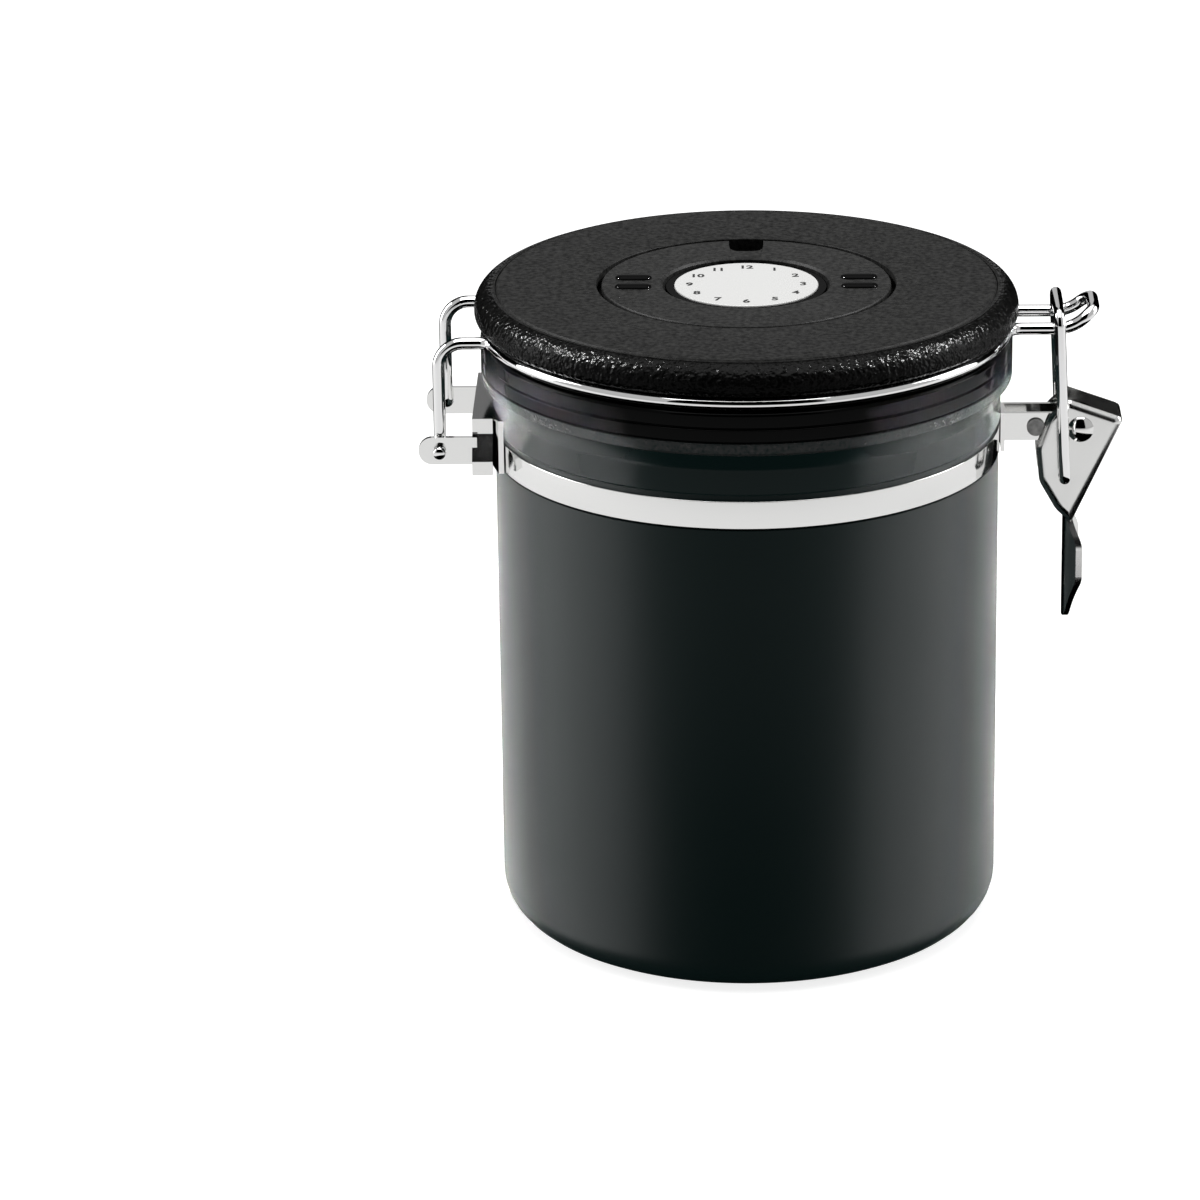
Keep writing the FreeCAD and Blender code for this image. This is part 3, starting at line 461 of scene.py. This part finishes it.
def tube(path, radius, aside, sides=32, chamfer=0.3 * mm):
    """Round wire: P(s, a) = path(s) + r(s) (cos a n(s) + sin a t(s) x n(s)).

    t is the path's direction and n the part of the aside vector square to it; r falls to 0 at the ends
    over a chamfer.
    """
    path = path[np.append(True, np.linalg.norm(np.diff(path, axis=0), axis=1) > 1e-8)]
    first = (path[1] - path[0]) / np.linalg.norm(path[1] - path[0])
    last = (path[-1] - path[-2]) / np.linalg.norm(path[-1] - path[-2])
    spine = np.concatenate([path[:1], path[:1], path[:1] + first * chamfer, path[1:-1],
                            path[-1:] - last * chamfer, path[-1:], path[-1:]])
    steps = np.gradient(spine, axis=0)
    steps[:3], steps[-3:] = first, last
    t = steps / np.linalg.norm(steps, axis=1)[:, None]
    n = np.asarray(aside, float) - (t @ np.asarray(aside, float))[:, None] * t
    n /= np.linalg.norm(n, axis=1)[:, None]
    r = np.full(len(spine), radius)
    r[[0, -1]], r[[1, -2]] = 0, radius - chamfer
    a = np.arange(sides) * 2 * pi / sides
    ring = np.cos(a)[:, None] * n[:, None] + np.sin(a)[:, None] * np.cross(t, n)[:, None]
    points = spine[:, None] + r[:, None, None] * ring
    return points.reshape(-1, 3), grid_faces(len(spine), sides, False, True)


wire_steel = Finish("bright_wire", (0.9, 0.9, 0.9), 0.05, metallic=1.0)
wire_steel.between(wire_steel.group(marks, scale=80.0)["Mask"], 0.03, 0.06, "Roughness")

leave_out = circle_radius + leave_bend
hinge_aside, loop_aside = hinge_y + leave_bend, loop_y + leave_bend
hinge_centre = np.array([-np.sqrt(leave_out ** 2 - hinge_aside ** 2), -hinge_aside, wire_z])
loop_centre = np.array([np.sqrt(leave_out ** 2 - loop_aside ** 2), -loop_aside, wire_z])
shrink = np.array([circle_radius / leave_out, circle_radius / leave_out, 1])
step = np.array([0, leave_bend, 0])
rise = np.linspace(0, tongue_angle, 12)
tongue = np.stack([tongue_x + tongue_radius * np.sin(rise), 0 * rise - loop_y,
                   wire_z + tongue_radius * (1 - np.cos(rise))], -1)
tip = tongue[-1] + np.array([cos(tongue_angle), 0, sin(tongue_angle)]) * tongue_corner
half = np.concatenate([
    bent([(hinge_x, -hook_end, hinge_z), (hinge_x, -hinge_y, hinge_z), (hinge_x, -hinge_y, wire_z),
          hinge_centre + step], [hook_bend, leg_bend]),
    arc(hinge_centre, hinge_centre + step, hinge_centre * shrink),
    arc((0, 0, wire_z), hinge_centre * shrink, loop_centre * shrink, 90),
    arc(loop_centre, loop_centre * shrink, loop_centre + step),
    tongue,
    bent([tongue[-1], tip, (tip[0], 0, tip[2])], [tongue_corner]),
])
loop_wire = np.concatenate([half, half[-2::-1] * (1, -1, 1)])
piece("lid_wire", *tube(loop_wire, wire_radius, (-1, 0, 1)), wire_steel.material,
      "lid", "bright_wire", "lid_bail", crease=60)
link = bent([(crank_x, -hook_y, crank_z), (crank_x, -leg_y, crank_z), (bar_x, -leg_y, bar_z),
             (bar_x, leg_y, bar_z), (crank_x, leg_y, crank_z), (crank_x, hook_y, crank_z)],
            [link_hook_bend, link_corner, link_corner, link_hook_bend])
piece("link_wire", *tube(link, link_radius, (1, 0, 0)), wire_steel.material,
      "link", "bright_wire", "link_bail", crease=60)

# Lid cover. A thick black plastic cap with a moulded grain: fine on the flat top, coarser like leather on the
# rolled edge. A crease runs between the two, and a round pocket takes the date ring.
lid_radius = 66.6 * mm
lid_low, lid_top = 155.1 * mm, 163.2 * mm
crown_radius, crease_depth = 61.6 * mm, 0.7 * mm
pocket_radius, pocket_floor = 36.65 * mm, 159.4 * mm
cover_floor = 157.4 * mm
pocket_wall = 39.25 * mm
plate_low = 160.6 * mm
skirt_inner = 59.95 * mm


def beyond_radius():
    """Mask that rises from 0 to 1 over a short blend outside a radius about the axis."""
    tree, given, out = effect("beyond_radius", {"Radius": 0.06, "Blend": 0.001}, ["Mask"])
    flat = tree.nodes.new("ShaderNodeVectorMath")
    flat.operation = "MULTIPLY"
    flat.inputs[1].default_value = (1, 1, 0)
    length = tree.nodes.new("ShaderNodeVectorMath")
    length.operation = "LENGTH"
    top = tree.nodes.new("ShaderNodeMath")
    spread = tree.nodes.new("ShaderNodeMapRange")
    tree.links.new(given.outputs["Place"], flat.inputs[0])
    tree.links.new(flat.outputs["Vector"], length.inputs[0])
    tree.links.new(given.outputs["Radius"], top.inputs[0])
    tree.links.new(given.outputs["Blend"], top.inputs[1])
    tree.links.new(length.outputs["Value"], spread.inputs["Value"])
    tree.links.new(given.outputs["Radius"], spread.inputs["From Min"])
    tree.links.new(top.outputs["Value"], spread.inputs["From Max"])
    tree.links.new(spread.outputs["Result"], out.inputs["Mask"])
    return tree


radius_mask = beyond_radius()
lid_black, lid_speck = (0.0005, 0.0005, 0.0005), (0.0066, 0.0066, 0.0064)
moulded = Finish("lid_plastic", lid_black, 0.5, specular=0.045)
on_edge = moulded.group(radius_mask, radius=crown_radius, blend=0.6 * mm)["Mask"]
specks = moulded.group(marks, scale=850.0)["Mask"]
moulded.between(moulded.times(specks, moulded.ramp(on_edge, 1.0, 0.25)), lid_black, lid_speck, "Base Color")
moulded.between(on_edge, 0.55, 0.2, "Roughness")
fine = moulded.bump(specks, 0.6, 0.1 * mm)
leather = moulded.times(moulded.group(grain, scale=800.0, detail=1.0)["Height"], on_edge)
moulded.bump(leather, 1.0, 0.55 * mm, fine)

cover = [
    (0, cover_floor, 0),
    (pocket_wall, cover_floor, 0),
    (pocket_wall, plate_low, 0),
    (skirt_inner, plate_low, 2.0 * mm),
    (skirt_inner, lid_low, 0),
    (lid_radius, lid_low, 2.1 * mm),
    (lid_radius, lid_top - 0.2 * mm, 5.0 * mm),
    (crown_radius + 0.6 * mm, lid_top - 0.3 * mm, 0.5 * mm),
    (crown_radius, lid_top - crease_depth - 0.3 * mm, 0.15 * mm),
    (crown_radius - 0.7 * mm, lid_top, 0.5 * mm),
    (pocket_radius, lid_top, 0.3 * mm),
    (pocket_radius, pocket_floor, 0),
    (0, pocket_floor, 0),
]
moulded_cover = piece("moulded_cover", *lathe(filleted(cover, 10), 288), moulded.material,
                      "lid", "lid_plastic", "lid_cover")

# Lid insert and valve housing. Both are moulded in glossy black plastic: the insert is a plug that centres
# the lid in the rim, and the perforated housing is pressed up into it below the vent.
gloss = Finish("gloss_insert", (0.01, 0.01, 0.01), 0.12)
gloss.between(gloss.group(marks, scale=35.0)["Mask"], 0.09, 0.2, "Roughness")
dress(gloss, "lid_insert", "valve_housing")

# Lid seal and vent flap. Matt black silicone, moulded: the seal lies between the insert and the rim, and
# the flap covers the vent's holes from below.
silicone = Finish("silicone", (0.02, 0.02, 0.02), 0.6, specular=0.3)
silicone.bump(silicone.group(grain, scale=1800.0)["Height"], 0.15, 0.05 * mm)
dress(silicone, "lid_seal", "valve_flap")

# Screws. Zinc-plated steel: four hold the insert on the cover and one holds the hub from below.
# Handling has left their plating uneven.
screw_steel = Finish("screw_steel", (0.62, 0.62, 0.6), 0.3, metallic=1.0)
screw_steel.between(screw_steel.group(marks, scale=300.0)["Mask"], 0.22, 0.4, "Roughness")
dress(screw_steel, "lid_screws", "hub_screw")

# Valve filter. A round pad of pale felt that lies loose in the valve housing and keeps dust out of the vent.
# Its fibres stand up a little.
felt = Finish("filter_felt", (0.72, 0.7, 0.64), 0.9, specular=0.1)
felt.bump(felt.group(grain, scale=1500.0, detail=5.0)["Height"], 0.6, 0.2 * mm)
dress(felt, "valve_filter")

# Dial hub. A round boss of smooth black plastic, fixed from below by its screw. The month disc lies in it
# and the date ring turns round it.
hub_gloss = Finish("hub_plastic", (0.0004, 0.0004, 0.0004), 0.15, specular=0.01)
hub_gloss.between(hub_gloss.group(marks, scale=60.0)["Mask"], 0.12, 0.2, "Roughness")
dress(hub_gloss, "dial_hub")

# Date ring. Moulded in the same grained plastic as the cover and free to turn in its pocket; a notch in its
# outer edge shows the vent's outlet, and two pairs of polished, rounded grips stand a little proud.
ring_low, ring_top = 159.6 * mm, 163.2 * mm
ring_outer, ring_opening, ring_lip, lip_top = 35.4 * mm, 20.4 * mm, 17.4 * mm, 160.9 * mm
ring_chamfer = 0.6 * mm
notch_floor, notch_half = 25.9 * mm, 4.3 * mm
grip_x, grip_pitch, grip_half, grip_round, grip_rise = 27.6 * mm, 7.3 * mm, 4.5 * mm, 1.9 * mm, 0.9 * mm


def notched_ring(outline, turns=240, fine=60):
    """Turned surface with a slot: P(i, t) = (-r sin a, r cos a, z_i), r = min(r_i, R(t)).

    Across the slot R = floor + (outer - floor) (1 - (1 - s^4)^(1/4)), s = |t| / turn, where turn is the
    angle of its side at the outside. The angle a is t, drawn out so that both sides lie at the distance half
    from the Y axis.
    """
    turn = np.arcsin(notch_half / ring_outer)
    t = np.concatenate([np.linspace(turn, 2 * pi - turn, turns),
                        turn * np.sin(np.linspace(-pi / 2, pi / 2, fine + 2)[1:-1])])
    t = np.arctan2(np.sin(t), np.cos(t))
    s = np.clip(np.abs(t) / turn, 0, 1)
    r = np.minimum(outline[:, :1], notch_floor + (ring_outer - notch_floor) * (1 - (1 - s ** 4) ** 0.25))
    side = np.arcsin(notch_half / np.maximum(r, notch_floor))
    beyond = np.maximum(np.abs(t) - turn, 0)
    a = np.sign(t) * (s * side + beyond * (pi - side) / (pi - turn))
    points = np.stack([-r * np.sin(a), r * np.cos(a), outline[:, 1:] + 0 * t], -1)
    return points.reshape(-1, 3), grid_faces(len(outline), len(t), True, True)


def grip_bar(x, y, around=48, up=10):
    """Rounded bar, half a capsule: P(a, b) = (x +- straight + w cos a, y + w sin a, top + rise sin b).

    The half width is w = round cos b, and a flat foot closes the bar below.
    """
    a = np.arange(around) * 2 * pi / around + pi / around
    b = np.linspace(0, pi / 2, up + 1)[:, None]
    w = grip_round * np.cos(b)
    ends = np.where(np.cos(a) > 0, 1, -1) * (grip_half - grip_round)
    dome = np.stack([x + ends + w * np.cos(a), y + w * np.sin(a),
                     ring_top + grip_rise * np.sin(b) + 0 * a], -1)
    foot = np.stack([x + ends + grip_round * np.cos(a), y + grip_round * np.sin(a),
                     ring_top - grip_rise + 0 * a], -1)[None]
    closed = np.stack([x + ends, y + 0 * a, ring_top - grip_rise + 0 * a], -1)[None]
    return np.concatenate([closed, foot, dome]).reshape(-1, 3), grid_faces(up + 3, around, False, True)


ring_plastic = Finish("ring_plastic", lid_black, 0.55, specular=0.07)
ring_specks = ring_plastic.group(marks, scale=850.0)["Mask"]
ring_plastic.between(ring_specks, lid_black, lid_speck, "Base Color")
ring_plastic.bump(ring_specks, 0.6, 0.1 * mm)
ring_profile = filleted([
    (ring_lip, ring_low, 0),
    (ring_outer, ring_low, 0),
    (ring_outer, ring_top, 0.6 * mm),
    (ring_opening + ring_chamfer, ring_top, 0.4 * mm),
    (ring_opening, ring_top - ring_chamfer, 0.3 * mm),
    (ring_opening, lip_top, 0),
    (ring_lip, lip_top, 0),
])
date_ring = piece("notched_ring", *notched_ring(ring_profile), ring_plastic.material,
                  "date_ring", "ring_plastic", "date_ring")
grip_gloss = Finish("grip_gloss", (0.0003, 0.0003, 0.0003), 0.12, specular=0.012)
grip_gloss.between(grip_gloss.group(marks, scale=200.0)["Mask"], 0.1, 0.14, "Roughness")
grips = [piece("ring_grip", *grip_bar(side * grip_x, half * grip_pitch / 2), grip_gloss.material, "date_ring",
               "ring_plastic") for side in (-1, 1) for half in (-1, 1)]

# Month disc. A thin satin silver plate let into the hub and held by a close fit.
# The numbers of the twelve months are printed on it in black ink.
disc_top = 162.7 * mm
number_circle, number_size, number_depth, number_weight = 13.9 * mm, 3.5 * mm, 0.03 * mm, 0.11 * mm
months = 12
silver = Finish("disc_silver", (0.72, 0.72, 0.71), 0.4, metallic=0.2)
silver.bump(silver.group(grain, scale=2200.0)["Height"], 0.05, 0.02 * mm)
dress(silver, "month_disc")

ink = Finish("month_ink", (0.012, 0.012, 0.012), 0.5)
ink.between(ink.group(grain, scale=3000.0)["Height"], (0.008, 0.008, 0.008), (0.02, 0.02, 0.02), "Base Color")
print_work = bmesh.new()
for month in range(1, months + 1):
    text = bpy.data.curves.new("month", "FONT")
    text.body = str(month)
    text.size, text.extrude, text.offset = number_size, number_depth, number_weight
    text.align_x, text.align_y = "CENTER", "CENTER"
    text.resolution_u = 4
    writer = bpy.data.objects.new("month", text)
    bpy.context.scene.collection.objects.link(writer)
    bpy.context.view_layer.update()
    numeral = bpy.data.meshes.new_from_object(writer.evaluated_get(bpy.context.evaluated_depsgraph_get()))
    angle = pi / 2 - month * 2 * pi / months
    numeral.transform(Matrix.Translation((number_circle * cos(angle), number_circle * sin(angle), disc_top)))
    print_work.from_mesh(numeral)
    bpy.data.objects.remove(writer)
    bpy.data.meshes.remove(numeral)
printed = bpy.data.meshes.new("month_numbers")
print_work.to_mesh(printed)
print_work.free()
printed.materials.clear()
printed.materials.append(ink.material)
numbers = bpy.data.objects.new("month_numbers", printed)
bpy.context.scene.collection.objects.link(numbers)
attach(numbers, "lid")

# Studio. A white floor and surround that show as plain white, a large softbox overhead and one at each side.
# Black cards and lamps for single pieces draw the dark and bright lines that flags and strips give.
floor_reach, floor_shade = 6.0, 0.5


def ray_level(tree, unseen, seen, glossy):
    """Light level: unseen, or seen for camera, glossy and transmission rays.

    Glossy rays get the glossy share of it.
    """
    path = tree.nodes.new("ShaderNodeLightPath")
    either, any_seen, product = (tree.nodes.new("ShaderNodeMath") for _ in range(3))
    either.operation = any_seen.operation = "MAXIMUM"
    product.operation = "MULTIPLY"
    level, share = (tree.nodes.new("ShaderNodeMapRange") for _ in range(2))
    level.inputs["To Min"].default_value, level.inputs["To Max"].default_value = unseen, seen
    share.inputs["To Min"].default_value, share.inputs["To Max"].default_value = 1.0, glossy
    tree.links.new(path.outputs["Is Camera Ray"], either.inputs[0])
    tree.links.new(path.outputs["Is Glossy Ray"], either.inputs[1])
    tree.links.new(either.outputs[0], any_seen.inputs[0])
    tree.links.new(path.outputs["Is Transmission Ray"], any_seen.inputs[1])
    tree.links.new(any_seen.outputs[0], level.inputs["Value"])
    tree.links.new(path.outputs["Is Glossy Ray"], share.inputs["Value"])
    tree.links.new(level.outputs["Result"], product.inputs[0])
    tree.links.new(share.outputs["Result"], product.inputs[1])
    return product.outputs[0]


floor_mesh = bpy.data.meshes.new("floor")
floor_mesh.from_pydata([(-floor_reach, -floor_reach, 0), (floor_reach, -floor_reach, 0),
                        (floor_reach, floor_reach, 0), (-floor_reach, floor_reach, 0)], [], [(0, 1, 2, 3)])
floor = bpy.data.objects.new("floor", floor_mesh)
bpy.context.scene.collection.objects.link(floor)
floor_finish = bpy.data.materials.new("studio_floor")
floor_finish.use_nodes = True
tree = floor_finish.node_tree
tree.nodes.clear()
matt = tree.nodes.new("ShaderNodeBsdfDiffuse")
matt.inputs["Color"].default_value = (floor_shade, floor_shade, floor_shade, 1)
glow = tree.nodes.new("ShaderNodeEmission")
tree.links.new(ray_level(tree, 0.0, 0.8, 0.27), glow.inputs["Strength"])
both = tree.nodes.new("ShaderNodeAddShader")
tree.links.new(matt.outputs[0], both.inputs[0])
tree.links.new(glow.outputs[0], both.inputs[1])
tree.links.new(both.outputs[0], tree.nodes.new("ShaderNodeOutputMaterial").inputs["Surface"])
floor_mesh.materials.append(floor_finish)

world = bpy.data.worlds.new("studio")
bpy.context.scene.world = world
world.use_nodes = True
tree = world.node_tree
tree.nodes.clear()
sky = tree.nodes.new("ShaderNodeBackground")
tree.links.new(ray_level(tree, 0.4, 1.0, 0.6), sky.inputs["Strength"])
tree.links.new(sky.outputs[0], tree.nodes.new("ShaderNodeOutputWorld").inputs["Surface"])


def flag(name, corners):
    """Black card that shows only in reflections, as the dark flags of a photo studio do."""
    mesh = bpy.data.meshes.new(name)
    mesh.from_pydata(corners, [], [tuple(range(len(corners)))])
    black = bpy.data.materials.new(name)
    black.use_nodes = True
    black.node_tree.nodes["Principled BSDF"].inputs["Base Color"].default_value = (0, 0, 0, 1)
    black.node_tree.nodes["Principled BSDF"].inputs["Specular IOR Level"].default_value = 0
    mesh.materials.append(black)
    card = bpy.data.objects.new(name, mesh)
    bpy.context.scene.collection.objects.link(card)
    card.visible_camera = card.visible_diffuse = card.visible_transmission = card.visible_shadow = False


flag("flag_behind", [(-0.45, 0.23, 0.002), (0.45, 0.23, 0.002), (1.6, 1.3, 0.002), (-1.6, 1.3, 0.002)])
flag("flag_below", [(0.25 * cos(i * pi / 24), 0.25 * sin(i * pi / 24), 0.001) for i in range(48)])
for side in (-1, 1):
    flag("flag_back", [(0.2 * side, 1.0, 0), (1.6 * side, 0.4, 0),
                       (1.6 * side, 0.4, 1.5), (0.2 * side, 1.0, 1.5)])
flag("flag_in_front", [(-1.6, -2.5, -0.1), (1.6, -2.5, -0.1), (1.6, -2.5, 4.4), (-1.6, -2.5, 4.4)])


def softbox(name, place, aim, width, height, watts, *lit):
    """Rectangular lamp at a place, turned to face a point; it lights only the pieces given, or everything."""
    lamp = bpy.data.lights.new(name, "AREA")
    lamp.shape = "RECTANGLE"
    lamp.size, lamp.size_y = width, height
    lamp.energy = watts
    obj = bpy.data.objects.new(name, lamp)
    obj.location = place
    obj.rotation_euler = (Vector(aim) - Vector(place)).to_track_quat("-Z", "Y").to_euler()
    bpy.context.scene.collection.objects.link(obj)
    if lit:
        obj.light_linking.receiver_collection = bpy.data.collections.new(name)
        for target in lit:
            obj.light_linking.receiver_collection.objects.link(target)
        obj.light_linking.blocker_collection = obj.light_linking.receiver_collection
        lamp.cycles.use_multiple_importance_sampling = False


softbox("overhead", (0.0, -0.1, 1.3), (0.0, 0.0, 0.1), 1.2, 1.2, 14)
softbox("left_side", (-1.1, 0.15, 0.45), (0.0, 0.0, 0.08), 0.5, 1.0, 8)
softbox("right_side", (1.1, 0.15, 0.45), (0.0, 0.0, 0.08), 0.5, 1.0, 6)
softbox("left_on_body", (-0.93, -0.14, -0.25), (0.0, 0.0, 0.08), 1.0, 0.9, 12.5, painted_shell, rolled_rim)
softbox("right_on_body", (0.93, -0.14, -0.25), (0.0, 0.0, 0.08), 1.0, 0.9, 12.5, painted_shell, rolled_rim)
softbox("left_behind_body", (-0.6, 0.7, -0.25), (0.0, 0.0, 0.08), 0.8, 0.6, 4.5, painted_shell, rolled_rim)
softbox("right_behind_body", (0.6, 0.7, -0.25), (0.0, 0.0, 0.08), 0.8, 0.6, 3.4, painted_shell, rolled_rim)
for side in (-1, 1):
    softbox("on_lid", (0.9 * side, 0.2, 1.0), (0.0, 0.0, 0.16), 0.3, 0.3, 54, moulded_cover, date_ring)
    softbox("on_grips", (0.9 * side, 0.2, 1.0), (0.0, 0.0, 0.16), 0.15, 0.15, 300, *grips)

# Camera. It stands at the photograph's viewing angle, fitted to the edges of body, lid and band,
# and its shift puts the canister at the photograph's place in the frame.
image_side = 1200
focal_pixels = 5739.58
centre_x, centre_y = 747.85, 609.52
distance, height_aimed = 1432.68 * mm, 77.74 * mm
elevation, roll = radians(20.58), radians(-0.27)
lens = bpy.data.cameras.new("camera")
lens.sensor_width = 36.0
lens.lens = focal_pixels / image_side * lens.sensor_width
lens.shift_x = -(centre_x - image_side / 2) / image_side
lens.shift_y = (centre_y - image_side / 2) / image_side
lens.clip_start, lens.clip_end = 0.05, 50.0
camera = bpy.data.objects.new("camera", lens)
back = Vector((0, -cos(elevation), sin(elevation)))
up = Vector((0, sin(elevation), cos(elevation)))
across = Vector((1, 0, 0)) * cos(roll) + up * sin(roll)
upright = up * cos(roll) - Vector((1, 0, 0)) * sin(roll)
turn = Matrix((across, upright, back)).transposed()
camera.matrix_world = Matrix.Translation(Vector((0, 0, height_aimed)) + back * distance) @ turn.to_4x4()
bpy.context.scene.collection.objects.link(camera)
bpy.context.scene.camera = camera
bpy.context.scene.view_settings.view_transform = "Standard"
